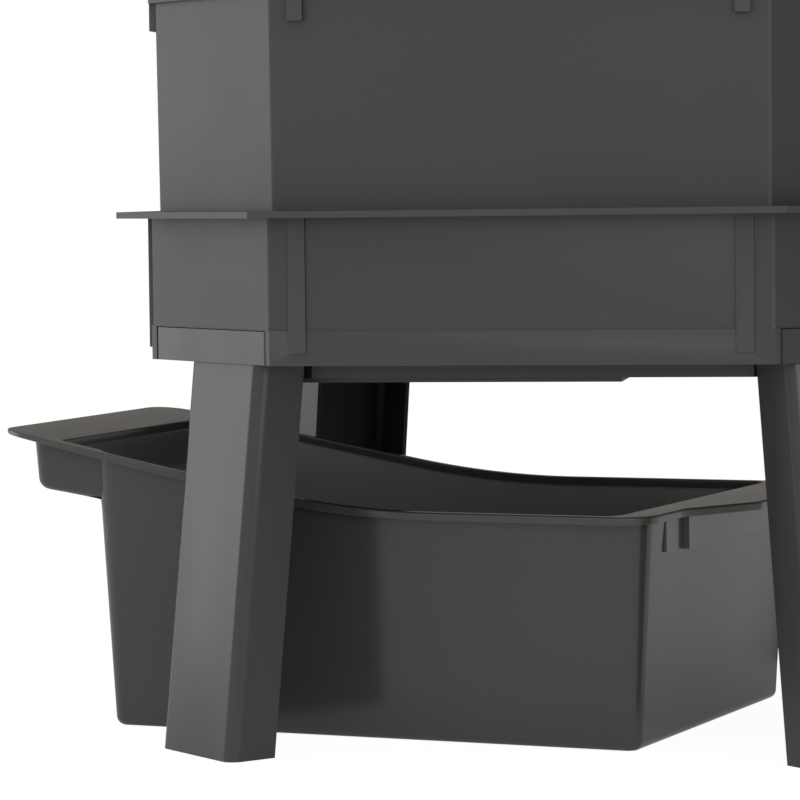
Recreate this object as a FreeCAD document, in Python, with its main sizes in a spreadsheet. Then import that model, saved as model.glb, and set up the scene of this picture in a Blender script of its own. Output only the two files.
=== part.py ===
import FreeCAD, Part
import math
import os

import Sketcher

# Wormery: a stack of worm trays on a drained sump with four splayed legs, and a loose collecting tray.
# Millimetres, +Z up. The origin is on the ground, under the middle of the whole object's box.
# Every tower piece is drawn about the tower's own axis and moved by tower_x.

SIZES = {
    # Sump, seen from above a square with chamfered corners
    "base_width": 380.0,
    "corner_cut": 73.0,
    "wall": 2.5,
    "leg_height": 186.5,
    "base_height": 71.9,
    "floor_thick": 3.0,
    "flange_reach": 15.9,
    "flange_thick": 3.1,
    "band_height": 16.4,
    "band_proud": 0.45,
    "rib_width": 7.2,
    "rib_proud": 1.4,
    "rib_inset": 13.7,
    "rib_foot": 6.7,
    "stay_thick": 2.5,
    "stay_depth": 7.5,
    # Hanging floor pan and its outlet
    "pan_inset": 40.0,
    "pan_cut": 45.0,
    "pan_drop": 7.9,
    "well_drop": 2.6,
    "well_left_inset": 44.0,
    "well_right": 42.0,
    "well_inset": 50.0,
    "outlet_x": -60.0,
    "outlet_bore": 34.0,
    "outlet_wall": 3.0,
    "spout_length": 5.0,
    # Legs
    "leg_face": 54.5,
    "leg_bevel": 4.0,
    "leg_depth": 25.5,
    "leg_wall": 2.5,
    "leg_setback": 3.5,
    "leg_run": 20.0,
    "leg_shift": 6.2,
    "sole_thick": 3.0,
    "web_thick": 2.0,
    "web_pitch": 46.0,
    "head_width": 94.5,
    "head_height": 15.8,
    "head_room": 6.0,
    "head_gap": 0.4,
    "tongue_width": 36.0,
    "tongue_depth": 14.0,
    "tongue_height": 19.7,
    "tongue_inset": 11.0,
    # Worm trays
    "tray_pitch": 134.0,
    "socket_depth": 30.0,
    "tray_gap": 1.45,
    "seat_gap": 0.3,
    "tray_draft": 0.45,
    "tray_floor": 2.5,
    "tray_rib_proud": 0.4,
    "tray_rib_drop": 43.0,
    "hole_size": 7.0,
    "hole_margin": 50.0,
    "hole_count": 8,
    # Lid
    "lid_plate": 3.0,
    "lid_rise": 26.0,
    "lid_margin": 4.0,
    "lid_inset": 75.0,
    "lid_spigot": 12.0,
    "lid_gap": 0.8,
    "vent_length": 60.0,
    "vent_width": 5.0,
    "vent_pitch": 14.0,
    "vent_count": 5,
    "grip_length": 120.0,
    "grip_width": 30.0,
    "grip_height": 34.0,
    "grip_thick": 8.0,
    "grip_lean_out": 12.0,
    "grip_lean_in": 20.0,
    # Strainer and worm ladder
    "strainer_rim": 24.0,
    "strainer_gap": 0.35,
    "strainer_thick": 1.5,
    "strainer_depth": 9.0,
    "strainer_hole": 4.0,
    "strainer_ring": 10.0,
    "strainer_holes": 8,
    "ladder_x": 62.0,
    "ladder_foot": 56.0,
    "ladder_top": 30.0,
    "ladder_wall": 2.0,
    "ladder_gap": 0.8,
    "ladder_slot": 5.0,
    "ladder_slots": 8,
    "slot_inset": 8.0,
    # Collecting tray, in its own frame: u along it, v across it
    "tank_inset": 127.5,
    "tank_clearance": 1.0,
    "tank_turn": -13.15,
    "tank_end_room": 49.1,
    "tank_side_room": 91.2,
    "tank_draft": 3.2,
    "tank_wall": 2.5,
    "tank_corner": 12.0,
    "tank_foot_radius": 4.5,
    "rim_low": 112.8,
    "rim_high": 150.0,
    "rim_slope": 11.2,
    "rim_bend": 10.0,
    "rim_low_reach": 45.0,
    "rim_high_reach": 15.0,
    "rim_thick": 3.3,
    "rim_reach": 3.0,
    "grip_overhang": 61.0,
    "grip_corner": 22.0,
    "rim_corner": 18.0,
    "lip_reach": 29.7,
    "lip_root": 57.0,
    "lip_nose": 12.0,
    "bay_overhang": 38.0,
    "bay_bridge": 18.0,
    "bay_drop": 30.0,
    "bay_fall": 0.7,
    "bay_mouth": 20.0,
    "bay_corner": 6.0,
    "apron_half": 57.0,
    "apron_proud": 3.0,
    "apron_drop": 25.0,
    "shelf_half": 84.0,
    "shelf_proud": 0.3,
    # How far cuts and their blanks run past the shape that they trim
    "cut_room": 1.0,
    "trim_room": 20.0,
}


class Size:
    """A length or angle that knows its value and the sheet expression that gives it."""

    def __init__(self, text, value):
        self.text = text
        self.value = value

    @staticmethod
    def of(number):
        return number if isinstance(number, Size) else Size(repr(float(number)), float(number))

    def joined(self, sign, other, value):
        return Size("(%s %s %s)" % (self.text, sign, Size.of(other).text), value)

    def __add__(self, other):
        return self.joined("+", other, self.value + Size.of(other).value)

    def __sub__(self, other):
        return self.joined("-", other, self.value - Size.of(other).value)

    def __mul__(self, other):
        return self.joined("*", other, self.value * Size.of(other).value)

    def __truediv__(self, other):
        return self.joined("/", other, self.value / Size.of(other).value)

    def __neg__(self):
        return Size("(0 - %s)" % self.text, -self.value)


def tangent(angle):
    return Size("tan(%s)" % angle.text, math.tan(math.radians(angle.value)))


def cosine(angle):
    return Size("cos(%s)" % angle.text, math.cos(math.radians(angle.value)))


def sine(angle):
    return Size("sin(%s)" % angle.text, math.sin(math.radians(angle.value)))


def slope_angle(run, rise):
    return Size("atan(%s / %s)" % (run.text, rise.text), math.degrees(math.atan(run.value / rise.value)))


doc = FreeCAD.newDocument("wormery")
sheet = doc.addObject("Spreadsheet::Sheet", "Sizes")
for row, (alias, number) in enumerate(SIZES.items(), start=1):
    sheet.set("A%d" % row, alias)
    sheet.set("B%d" % row, str(number))
    sheet.setAlias("B%d" % row, alias)
doc.recompute()


def size(alias):
    return Size("Sizes.%s" % alias, float(sheet.get(alias)))


def count(alias):
    return int(sheet.get(alias))


ROOT_TWO = Size.of(math.sqrt(2.0))
# A parallel offset of one moves the end of a corner's chamfer by this much along the side
CORNER_GROWTH = 2.0 - math.sqrt(2.0)
CUTS = []
TRAY_LABELS = ("tray_lower", "tray_middle", "tray_upper")
TRAYS = len(TRAY_LABELS)


def bind(item, path, amount):
    amount = Size.of(amount)
    item.setExpression(path, amount.text)


def new_body(label, x=None, y=None, z=None, turn=0.0):
    body = doc.addObject("PartDesign::Body", label)
    body.Label = label
    body.Placement = FreeCAD.Placement(FreeCAD.Vector(), FreeCAD.Rotation(FreeCAD.Vector(0, 0, 1), turn))
    for axis, amount in zip("xyz", (x, y, z)):
        if amount is not None:
            bind(body, ".Placement.Base." + axis, amount)
    return body


def origin_feature(body, role):
    for feature in body.Origin.OriginFeatures:
        if feature.Role == role:
            return feature
    raise RuntimeError("no origin feature " + role)


def new_sketch(body, name, level=0.0, plane="XY_Plane", turn=0.0):
    drawing = body.newObject("Sketcher::SketchObject", name)
    drawing.AttachmentSupport = [(origin_feature(body, plane), "")]
    drawing.MapMode = "FlatFace"
    rotation = FreeCAD.Rotation(FreeCAD.Vector(0, 0, 1), turn)
    drawing.AttachmentOffset = FreeCAD.Placement(FreeCAD.Vector(0, 0, Size.of(level).value), rotation)
    bind(drawing, ".AttachmentOffset.Base.z", level)
    return drawing


def fix(drawing, kind, edge, point, amount):
    """Hold one coordinate of a sketch point at a size, measured from the sketch's origin."""
    amount = Size.of(amount)
    if abs(amount.value) < 1e-9:
        axis = -2 if kind == "DistanceX" else -1
        drawing.addConstraint(Sketcher.Constraint("PointOnObject", edge, point, axis))
        return
    index = drawing.addConstraint(Sketcher.Constraint(kind, -1, 1, edge, point, amount.value))
    bind(drawing, "Constraints[%d]" % index, amount)


def arc_between(start, end, radius, bulge):
    """The shorter arc from start to end; a positive bulge lies to the right of the way there."""
    chord = end - start
    half = chord.Length / 2.0
    side = FreeCAD.Vector(chord.y, -chord.x, 0).normalize() * bulge
    middle = (start + end) / 2.0
    sagitta = radius - math.sqrt(max(radius * radius - half * half, 0.0))
    return Part.Arc(start, middle + side * sagitta, end)


def draw_loop(drawing, corners, arcs=None):
    """Draw a closed outline through corners, and hold each corner at its size.

    arcs maps an edge's number to (radius, bulge)."""
    arcs = arcs or {}
    first = drawing.GeometryCount
    points = [FreeCAD.Vector(Size.of(x).value, Size.of(y).value, 0) for x, y in corners]
    total = len(points)
    ends = []
    for number, start in enumerate(points):
        end = points[(number + 1) % total]
        if number in arcs:
            radius, bulge = arcs[number]
            drawing.addGeometry(arc_between(start, end, Size.of(radius).value, bulge), False)
            forward = bulge > 0
            ends.append((1, 2) if forward else (2, 1))
        else:
            drawing.addGeometry(Part.LineSegment(start, end), False)
            ends.append((1, 2))
    for number in range(total):
        following = (number + 1) % total
        drawing.addConstraint(Sketcher.Constraint(
            "Coincident", first + number, ends[number][1], first + following, ends[following][0]))
    for number, (x, y) in enumerate(corners):
        fix(drawing, "DistanceX", first + number, ends[number][0], x)
        fix(drawing, "DistanceY", first + number, ends[number][0], y)
    for number, (radius, bulge) in arcs.items():
        index = drawing.addConstraint(Sketcher.Constraint("Radius", first + number, Size.of(radius).value))
        bind(drawing, "Constraints[%d]" % index, radius)
    return drawing


def draw_circle(drawing, x, y, radius):
    first = drawing.GeometryCount
    centre = FreeCAD.Vector(Size.of(x).value, Size.of(y).value, 0)
    drawing.addGeometry(Part.Circle(centre, FreeCAD.Vector(0, 0, 1), Size.of(radius).value), False)
    fix(drawing, "DistanceX", first, 3, x)
    fix(drawing, "DistanceY", first, 3, y)
    index = drawing.addConstraint(Sketcher.Constraint("Radius", first, Size.of(radius).value))
    bind(drawing, "Constraints[%d]" % index, radius)
    return drawing


def box_corners(left, right, near, far):
    return [(left, near), (right, near), (right, far), (left, far)]


def octagon_corners(half, cut):
    """A square of half width half with its corners cut off by cut along each side."""
    inner = half - cut
    return [(-inner, -half), (inner, -half), (half, -inner), (half, inner),
            (inner, half), (-inner, half), (-half, inner), (-half, -inner)]


def octagon(body, name, half, cut, level):
    return draw_loop(new_sketch(body, name, level), octagon_corners(half, cut))


def offset_octagon(body, name, half, cut, reach, level):
    """An octagon whose sides all lie reach outside the given one."""
    return octagon(body, name, half + reach, cut + reach * CORNER_GROWTH, level)


def pad(body, name, profile, length, taper=None, down=False, both_ways=False):
    feature = body.newObject("PartDesign::Pad", name)
    feature.Profile = profile
    feature.Reversed = down
    if both_ways:
        feature.SideType = "Symmetric"
    bind(feature, "Length", length)
    if taper is not None:
        bind(feature, "TaperAngle", taper)
    body.Tip = feature
    return feature


def pocket(body, name, profile, length, taper=None, up=False, both_ways=False):
    """Cut downwards from the profile, or upwards."""
    feature = body.newObject("PartDesign::Pocket", name)
    feature.Profile = profile
    feature.Reversed = up
    if both_ways:
        feature.SideType = "Symmetric"
    bind(feature, "Length", length)
    if taper is not None:
        bind(feature, "TaperAngle", taper)
    body.Tip = feature
    CUTS.append(feature)
    return feature


def around(body, name, originals, copies=4):
    feature = body.newObject("PartDesign::PolarPattern", name)
    feature.Originals = originals
    feature.Axis = (origin_feature(body, "Z_Axis"), [""])
    feature.Angle = 360.0
    feature.Occurrences = copies
    body.Tip = feature
    return feature


def rows(body, name, original, spacing, copies):
    feature = body.newObject("PartDesign::LinearPattern", name)
    feature.Originals = [original]
    feature.Direction = (origin_feature(body, "Y_Axis"), [""])
    feature.Mode = "Spacing"
    bind(feature, "Offset", spacing)
    feature.Occurrences = copies
    body.Tip = feature
    return feature


def fillet(body, name, base, wanted, radius):
    """Round the edges of the last feature that wanted(edge) picks."""
    doc.recompute()
    names = ["Edge%d" % number for number, edge in enumerate(base.Shape.Edges, start=1) if wanted(edge)]
    if not names:
        raise RuntimeError(name + " found no edges")
    feature = body.newObject("PartDesign::Fillet", name)
    feature.Base = (base, names)
    bind(feature, "Radius", radius)
    body.Tip = feature
    return feature


def lean(body, name, base, angle, inside=False):
    """Lean an octagon's upright faces, of its hollow or else of its outside, to narrow from the XY plane up."""
    doc.recompute()
    names = []
    for number, face in enumerate(base.Shape.Faces, start=1):
        normal = face.normalAt(0, 0)
        facing_axis = normal.x * face.CenterOfMass.x + normal.y * face.CenterOfMass.y < 0
        if abs(normal.z) < 0.01 and facing_axis == inside:
            names.append("Face%d" % number)
    if not names:
        raise RuntimeError(name + " found no faces")
    feature = body.newObject("PartDesign::Draft", name)
    feature.Base = (base, names)
    feature.NeutralPlane = (origin_feature(body, "XY_Plane"), [""])
    feature.Reversed = inside
    bind(feature, "Angle", angle)
    body.Tip = feature
    return feature


# Shared sizes of the tower
base_half = size("base_width") / 2
corner_cut = size("corner_cut")
wall = size("wall")
deck = size("leg_height")
base_rim = deck + size("base_height")
flange_thick = size("flange_thick")
flange_reach = size("flange_reach")
sump_floor = deck + size("floor_thick")
pan_under = deck - size("pan_drop")
pan_floor = pan_under + size("floor_thick")
well_under = pan_under - size("well_drop")
well_floor = pan_floor - size("well_drop")
socket_depth = size("socket_depth")
seat_gap = size("seat_gap")
tray_foot = base_rim - socket_depth
stack_seat = tray_foot - seat_gap
rib_half = size("rib_width") / 2
rib_centre = base_half - corner_cut - size("rib_inset")
head_gap = size("head_gap")
corner_plane = (base_half * 2 - corner_cut) / ROOT_TWO
flange_half = base_half + flange_reach
cut_room = size("cut_room")
trim_room = size("trim_room")

# The legs' outer faces at the sump and at the ground, from the tower's axis
leg_half = size("leg_face") / 2 + size("leg_bevel")
head_depth = size("leg_depth") + size("head_room")
leg_top_y = corner_plane - size("leg_setback")
leg_foot_y = leg_top_y + size("leg_run")

# The collecting tray stands beside the inner corner of the rear left leg, clear of it at the rim's mid height
turn = size("tank_turn")
tank_half = base_half - size("tank_side_room")
tank_end = base_half - size("tank_end_room")
tank_tan = tangent(size("tank_draft"))
rim_half = tank_half + size("rim_high") * tank_tan + size("rim_reach")
rim_middle = (size("rim_low") + size("rim_high")) / 2
beside_x = size("leg_shift") - leg_half
beside_y = leg_foot_y - size("leg_run") * rim_middle / deck - size("leg_depth")
tank_x = size("tank_inset") - base_half
across_x = (beside_x - beside_y) / ROOT_TWO - tank_x
side_room = rim_half + size("tank_clearance") + across_x * sine(turn)
tank_y = (beside_x + beside_y) / ROOT_TWO - side_room / cosine(turn)

# The whole object's box runs from the grip plate's rounded near corner to the sump's flange
grip_end = tank_end + size("grip_overhang")
grip_corner = size("grip_corner")
grip_centre_u = grip_corner - grip_end
grip_centre_v = grip_corner - rim_half
grip_reach = tank_x + grip_centre_u * cosine(turn) - grip_centre_v * sine(turn) - grip_corner
tower_x = -(grip_reach + flange_half) / 2


def build_base_sump():
    body = new_body("base_sump", x=tower_x)
    half, cut = base_half, corner_cut
    band = offset_octagon(body, "band_outline", half, cut, size("band_proud"), deck)
    pad(body, "band", band, size("band_height"))
    shell = octagon(body, "shell_outline", half, cut, deck)
    pad(body, "shell", shell, size("base_height") - flange_thick)
    rim = offset_octagon(body, "flange_outline", half, cut, flange_reach, base_rim - flange_thick)
    pad(body, "flange", rim, flange_thick)
    pan_half = base_half - size("pan_inset")
    pan = octagon(body, "pan_outline", pan_half, size("pan_cut"), pan_under)
    pad(body, "pan", pan, size("pan_drop") + size("floor_thick"))
    well_left = size("well_left_inset") - base_half
    well_half = base_half - size("well_inset")
    well = draw_loop(new_sketch(body, "well_outline", well_under), box_corners(
        well_left, size("well_right"), -well_half, well_half))
    pad(body, "well", well, size("floor_thick"))
    spout = draw_circle(new_sketch(body, "spout_outline", well_under - size("spout_length")),
                        size("outlet_x"), 0, size("outlet_bore") / 2 + size("outlet_wall"))
    pad(body, "spout", spout, size("spout_length") + size("floor_thick"))
    inside = offset_octagon(body, "inside_outline", half, cut, -wall, base_rim)
    pocket(body, "inside", inside, base_rim - sump_floor)
    pan_inside = offset_octagon(body, "pan_inside_outline", pan_half, size("pan_cut"), -wall, sump_floor)
    pocket(body, "pan_inside", pan_inside, sump_floor - pan_floor)
    well_inside = draw_loop(new_sketch(body, "well_inside_outline", pan_floor), box_corners(
        well_left + wall, size("well_right") - wall, wall - well_half, well_half - wall))
    pocket(body, "well_inside", well_inside, size("well_drop"))
    bore = draw_circle(
        new_sketch(body, "outlet_outline", well_floor), size("outlet_x"), 0, size("outlet_bore") / 2)
    pocket(body, "outlet", bore, size("floor_thick") + size("spout_length") + cut_room)
    add_leg_seats(body)
    add_outer_ribs(body, rib_foot=deck + size("rib_foot"), top=base_rim - flange_thick,
                   face=base_half + size("rib_proud"), root=base_half - wall / 2)
    for side in (-1, 1):
        stay = draw_loop(new_sketch(body, "stay_outline_%d" % (side + 1), sump_floor - cut_room), box_corners(
            rib_centre * side - size("stay_thick") / 2, rib_centre * side + size("stay_thick") / 2,
            -(base_half - wall / 2), -(base_half - wall - size("stay_depth"))))
        column = pad(body, "stay_%d" % (side + 1), stay, stack_seat - sump_floor + cut_room)
        around(body, "stays_%d" % (side + 1), [column])
    return body


def add_outer_ribs(body, rib_foot, top, face, root):
    """Two upright ribs on each flat side, from rib_foot up to the flange."""
    for side in (-1, 1):
        outline = draw_loop(new_sketch(body, "rib_outline_%d" % (side + 1), rib_foot), box_corners(
            rib_centre * side - rib_half, rib_centre * side + rib_half, -face, -root))
        rib = pad(body, "rib_%d" % (side + 1), outline, top - rib_foot)
        around(body, "ribs_%d" % (side + 1), [rib])


def add_leg_seats(body):
    """A housing in each corner with a recess for the leg's head and a blind post for its tongue."""
    reach = head_gap + wall
    head_half = size("head_width") / 2
    head_back = corner_plane - head_depth
    head_top = deck + size("head_height")
    tongue_half = size("tongue_width") / 2
    tongue_out = corner_plane - size("tongue_inset")
    tongue_back = tongue_out - size("tongue_depth")
    tongue_top = head_top + size("tongue_height")
    house = draw_loop(new_sketch(body, "housing_outline", deck, turn=135), box_corners(
        -(head_half + reach), head_half + reach, head_back - reach, corner_plane - wall / 2))
    housing = pad(body, "housing", house, size("head_height") + reach)
    post_outline = draw_loop(new_sketch(body, "post_outline", deck, turn=135), box_corners(
        -(tongue_half + reach), tongue_half + reach, tongue_back - reach, tongue_out + reach))
    post = pad(body, "post", post_outline, stack_seat - deck)
    head_outline = draw_loop(new_sketch(body, "recess_outline", deck, turn=135), box_corners(
        -(head_half + head_gap), head_half + head_gap, head_back - head_gap, corner_plane + wall))
    recess = pocket(body, "recess", head_outline, size("head_height") + head_gap, up=True)
    tongue_outline = draw_loop(new_sketch(body, "socket_outline", deck, turn=135), box_corners(
        -(tongue_half + head_gap), tongue_half + head_gap, tongue_back - head_gap, tongue_out + head_gap))
    socket = pocket(body, "socket", tongue_outline, tongue_top + head_gap - deck, up=True)
    around(body, "leg_seats", [housing, post, recess, socket])


def build_leg(label, hand, angle):
    """A splayed channel leg, open towards the tower's middle.

    Local +Y points out through the corner. hand is 1 or -1 and says to which side the leg is shifted."""
    body = new_body(label, x=tower_x, turn=angle)
    shift = size("leg_shift") * hand
    face = size("leg_face") / 2
    bevel = size("leg_bevel")
    half = leg_half
    depth = size("leg_depth")
    inner = size("leg_wall")
    foot_y = leg_foot_y
    head_top = deck + size("head_height")
    crown = head_top - inner / 2
    crown_y = leg_top_y - size("leg_run") * (crown - deck) / deck

    def section(name, level, outer_y):
        back = outer_y - depth
        return draw_loop(new_sketch(body, name, level), [
            (shift - half, back), (shift - half, outer_y - bevel), (shift - face, outer_y),
            (shift + face, outer_y), (shift + half, outer_y - bevel), (shift + half, back),
            (shift + half - inner, back), (shift + half - inner, outer_y - bevel - inner / 2),
            (shift + face - inner / 2, outer_y - inner), (shift - face + inner / 2, outer_y - inner),
            (shift - half + inner, outer_y - bevel - inner / 2), (shift - half + inner, back)])

    head_back = corner_plane - head_depth
    head_half = size("head_width") / 2
    block = draw_loop(new_sketch(body, "head_outline", deck), box_corners(
        -head_half, head_half, head_back, corner_plane))
    pad(body, "head", block, size("head_height"))
    hollow = draw_loop(new_sketch(body, "head_hollow_outline", deck), box_corners(
        inner - head_half, head_half - inner, head_back + inner, corner_plane - inner))
    pocket(body, "head_hollow", hollow, size("head_height") - inner, up=True)
    tongue_out = corner_plane - size("tongue_inset")
    tongue = draw_loop(new_sketch(body, "tongue_outline", head_top - inner / 2), box_corners(
        -size("tongue_width") / 2, size("tongue_width") / 2, tongue_out - size("tongue_depth"), tongue_out))
    pad(body, "tongue", tongue, size("tongue_height") + inner / 2)
    shank = body.newObject("PartDesign::AdditiveLoft", "shank")
    shank.Profile = section("foot_section", 0.0, foot_y)
    shank.Sections = [section("crown_section", crown, crown_y)]
    shank.Ruled = True
    body.Tip = shank

    def plate(name, level, thickness):
        """A cross plate that closes the channel from wall to wall."""
        outer_y = foot_y - size("leg_run") * level / deck
        side_x = half - inner / 2
        face_x = face - inner / 4
        back_y = outer_y - depth
        bevel_y = outer_y - bevel - inner / 2
        outline = draw_loop(new_sketch(body, name + "_outline", level), [
            (shift - side_x, back_y), (shift - side_x, bevel_y), (shift - face_x, outer_y - inner),
            (shift + face_x, outer_y - inner), (shift + side_x, bevel_y), (shift + side_x, back_y)])
        pad(body, name, outline, thickness)

    plate("sole", Size.of(0.0), size("sole_thick"))
    for number in (1, 2):
        plate("web_%d" % number, size("web_pitch") * number, size("web_thick"))
    return body


def build_tray(label, level):
    """A nesting worm tray with a drafted wall, a wider socket for the next tray, and a holed floor."""
    body = new_body(label, x=tower_x, z=tray_foot + size("tray_pitch") * level)
    height = size("tray_pitch") + socket_depth
    ledge = size("tray_pitch") - seat_gap
    draft = size("tray_draft")
    spread = tangent(draft)
    # The wall's outside clears the socket below by tray_gap at the height of that socket's rim
    foot_inset = wall + size("tray_gap") + socket_depth * spread
    foot = offset_octagon(body, "wall_outline", base_half, corner_cut, -foot_inset, 0)
    pad(body, "wall", foot, ledge, taper=draft)
    socket = octagon(body, "socket_outline", base_half, corner_cut, ledge - wall)
    pad(body, "socket", socket, height - flange_thick - ledge + wall)
    rim = offset_octagon(body, "flange_outline", base_half, corner_cut, flange_reach, height - flange_thick)
    pad(body, "flange", rim, flange_thick)
    add_outer_ribs(body, rib_foot=height - flange_thick - size("tray_rib_drop"), top=height - flange_thick,
                   face=base_half + size("tray_rib_proud"), root=base_half - foot_inset - wall / 2)
    socket_inside = offset_octagon(body, "socket_inside_outline", base_half, corner_cut, -wall, height)
    pocket(body, "socket_inside", socket_inside, socket_depth + seat_gap)
    inside = offset_octagon(
        body, "inside_outline", base_half, corner_cut, -(foot_inset + wall) + ledge * spread, ledge)
    pocket(body, "inside", inside, ledge - size("tray_floor"), taper=-draft)
    holes = new_sketch(body, "hole_row", size("tray_floor"))
    hole_half = size("hole_size") / 2
    hole_reach = base_half - size("hole_margin")
    hole_pitch = hole_reach * 2 / (count("hole_count") - 1)
    for number in range(count("hole_count")):
        x = hole_pitch * number - hole_reach
        draw_loop(holes, box_corners(
            x - hole_half, x + hole_half, -hole_reach - hole_half, hole_half - hole_reach))
    row = pocket(body, "first_holes", holes, size("tray_floor") + cut_room)
    rows(body, "holes", row, hole_pitch, count("hole_count"))
    return body


def build_lid():
    body = new_body("lid", x=tower_x, z=base_rim + size("tray_pitch") * TRAYS + seat_gap)
    plate_top = size("lid_plate")
    rise = size("lid_rise")
    slope = slope_angle(size("lid_inset") - size("lid_margin"), rise)

    # The roof's block stands on the plate's underside, where its foot lies further out than on the plate
    roof_reach = plate_top * tangent(slope) - size("lid_margin")
    spigot_reach = -(wall + size("lid_gap"))
    inner_reach = spigot_reach - wall
    inner_half = base_half + inner_reach
    inner_cut = corner_cut + inner_reach * CORNER_GROWTH
    roof_outline = offset_octagon(body, "roof_outline", base_half, corner_cut, roof_reach, 0)
    pad(body, "roof_block", roof_outline, plate_top + rise)
    hollow = pocket(body, "hollow_block", octagon(body, "hollow_outline", inner_half, inner_cut, 0),
                    plate_top + rise - wall, up=True)
    roof = lean(body, "hollow", hollow, slope, inside=True)
    lean(body, "roof", roof, slope)
    plate = offset_octagon(body, "plate_outline", base_half, corner_cut, flange_reach, 0)
    draw_loop(plate, octagon_corners(inner_half, inner_cut))
    pad(body, "plate", plate, plate_top)
    spigot = offset_octagon(body, "spigot_outline", base_half, corner_cut, spigot_reach, 0)
    draw_loop(spigot, octagon_corners(inner_half, inner_cut))
    pad(body, "spigot", spigot, size("lid_spigot"), down=True)
    vents = new_sketch(body, "vent_outlines", plate_top + rise)
    vent_half = size("vent_width") / 2
    middle = (count("vent_count") - 1) / 2.0
    for side in (-1, 1):
        for number in range(count("vent_count")):
            x = size("vent_pitch") * (number - middle)
            y = size("grip_width") * side + size("vent_length") / 2 * side
            draw_loop(vents, box_corners(
                x - vent_half, x + vent_half, y - size("vent_length") / 2, y + size("vent_length") / 2))
    pocket(body, "vents", vents, wall + cut_room)
    grip_half = size("grip_length") / 2
    thick = size("grip_thick")
    grip_base = plate_top + rise - wall / 2
    grip_top = grip_base + size("grip_height")
    lean_out = size("grip_lean_out")
    lean_in = size("grip_lean_in")
    profile = draw_loop(new_sketch(body, "grip_outline", plane="XZ_Plane"), [
        (-grip_half, grip_base), (-grip_half + thick, grip_base), (-grip_half + lean_in, grip_top - thick),
        (grip_half - lean_in, grip_top - thick), (grip_half - thick, grip_base), (grip_half, grip_base),
        (grip_half - lean_out, grip_top), (-grip_half + lean_out, grip_top)])
    pad(body, "grip", profile, size("grip_width"), both_ways=True)
    return body


def build_strainer():
    """A shallow perforated cup that hangs by its rim in the sump's outlet."""
    body = new_body("drain_strainer", x=tower_x + size("outlet_x"), z=well_floor)
    thick = size("strainer_thick")
    depth = size("strainer_depth")
    cup = size("outlet_bore") / 2 - size("strainer_gap")
    profile = draw_loop(new_sketch(body, "cup_profile", plane="XZ_Plane"), [
        (0, -depth), (cup, -depth), (cup, 0), (size("strainer_rim"), 0), (size("strainer_rim"), thick),
        (cup - thick, thick), (cup - thick, thick - depth), (0, thick - depth)])
    turned = body.newObject("PartDesign::Revolution", "cup")
    turned.Profile = profile
    turned.ReferenceAxis = (profile, ["V_Axis"])
    turned.Angle = 360.0
    body.Tip = turned
    hole_half = size("strainer_hole") / 2
    ring = size("strainer_ring")
    middle = draw_loop(new_sketch(body, "middle_hole_outline", thick - depth), box_corners(
        -hole_half, hole_half, -hole_half, hole_half))
    pocket(body, "middle_hole", middle, thick + cut_room)
    outer = draw_loop(new_sketch(body, "hole_outline", thick - depth), box_corners(
        ring - hole_half, ring + hole_half, -hole_half, hole_half))
    hole = pocket(body, "hole", outer, thick + cut_room)
    around(body, "holes", [hole], count("strainer_holes"))
    return body


def build_ladder():
    """A hollow eight-sided spire with slots, which stands on the sump's floor under the lowest tray."""
    body = new_body("worm_ladder", x=tower_x + size("ladder_x"), z=pan_floor)
    height = tray_foot - pan_floor - size("ladder_gap")
    foot = size("ladder_foot")
    top = size("ladder_top")
    thick = size("ladder_wall")

    slope = slope_angle(foot - top, height)
    pad(body, "spire_block", octagon(body, "spire_outline", foot, foot * CORNER_GROWTH, 0), height)
    inner = foot - thick
    hollow = pocket(body, "hollow_block", octagon(body, "hollow_outline", inner, inner * CORNER_GROWTH, 0),
                    height - thick, up=True)
    spire = lean(body, "hollow", hollow, slope, inside=True)
    lean(body, "spire", spire, slope)
    slot_half = size("ladder_slot") / 2
    outline = draw_loop(new_sketch(body, "slot_outline", height + cut_room), box_corners(
        top - size("slot_inset"), foot - size("slot_inset"), -slot_half, slot_half))
    slot = pocket(body, "slot", outline, height - thick * 2)
    around(body, "slots", [slot], count("ladder_slots"))
    return body


def rim_line(drop):
    """Corners and arcs of the collecting tray's rim in side view, drop below its top, from right to left."""
    slope = size("rim_slope")
    low = size("rim_low") - drop
    high = size("rim_high") - drop
    low_reach = size("rim_low_reach")
    high_reach = size("rim_high_reach")
    foot_u = -size("rim_bend")
    crest_u = foot_u - (size("rim_high") - size("rim_low")) / tangent(slope)
    corners = [
        (foot_u + low_reach, low),
        (foot_u - low_reach * cosine(slope), low + low_reach * sine(slope)),
        (crest_u + high_reach * cosine(slope), high - high_reach * sine(slope)),
        (crest_u - high_reach, high)]
    return corners, low_reach / tangent(slope / 2), high_reach / tangent(slope / 2)


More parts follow.
